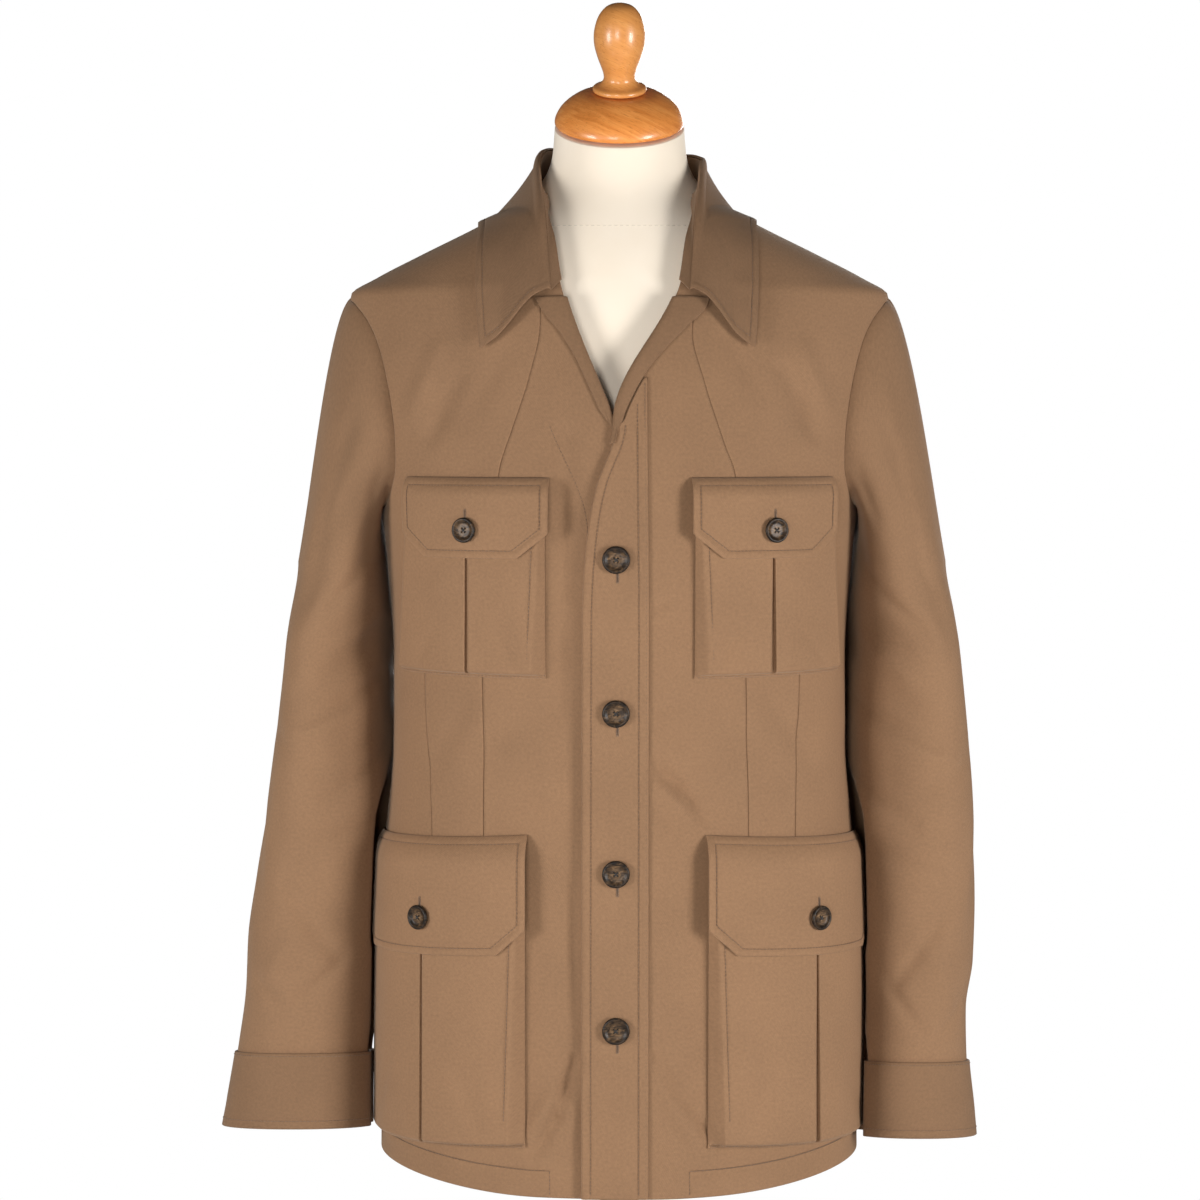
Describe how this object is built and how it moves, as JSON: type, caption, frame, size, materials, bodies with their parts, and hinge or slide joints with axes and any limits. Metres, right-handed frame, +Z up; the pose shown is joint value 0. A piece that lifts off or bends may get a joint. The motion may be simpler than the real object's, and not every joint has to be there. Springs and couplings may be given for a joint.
{
  "type": "safari jacket on a dress form",
  "caption": "Buttoned long-sleeved jacket with spread collar, flapped pleated pockets and plain cuffs, worn by a limbless dress form with a turned wooden neck cap on a round-footed pole",
  "frame": {"origin": "on the floor, under the middle of the round foot, on the pole's axis", "axes": "+Z up along the pole, the jacket's front faces -Y, and +X is toward the wearer's left hand"},
  "size_m": [0.6313, 0.4, 1.6024],
  "materials": {
    "body_cloth": "fine olive-brown cotton twill with a soft sheen",
    "sleeve_cloth": "fine olive-brown cotton twill with a soft sheen",
    "trim_cloth": "the same twill, a little darker on collar, facing and cuffs",
    "pocket_cloth": "the same twill, topstitched",
    "horn": "dark streaked horn, half gloss",
    "form_cover": "smooth cream cover cloth",
    "beech": "varnished orange beech",
    "painted_steel": "dark grey satin paint"
  },
  "bodies": {
    "root": {"front_right": "body_cloth", "front_left": "body_cloth", "back": "body_cloth", "button_band": "body_cloth", "sleeve_right": "sleeve_cloth", "sleeve_left": "sleeve_cloth", "cuff_right": "trim_cloth", "cuff_left": "trim_cloth", "collar_stand": "trim_cloth", "collar_leaf": "trim_cloth", "lapel_right": "trim_cloth", "lapel_left": "trim_cloth", "chest_pocket_right": "pocket_cloth", "chest_pocket_left": "pocket_cloth", "chest_flap_right": "pocket_cloth", "chest_flap_left": "pocket_cloth", "hip_pocket_right": "pocket_cloth", "hip_pocket_left": "pocket_cloth", "hip_flap_right": "pocket_cloth", "hip_flap_left": "pocket_cloth", "chest_button_right": "horn", "chest_button_left": "horn", "hip_button_right": "horn", "hip_button_left": "horn", "front_button_1": "horn", "front_button_2": "horn", "front_button_3": "horn", "front_button_4": "horn", "form_body": "form_cover", "neck_cap": "beech", "finial": "beech", "pole": "painted_steel", "base": "painted_steel"}
  },
  "joints": []
}
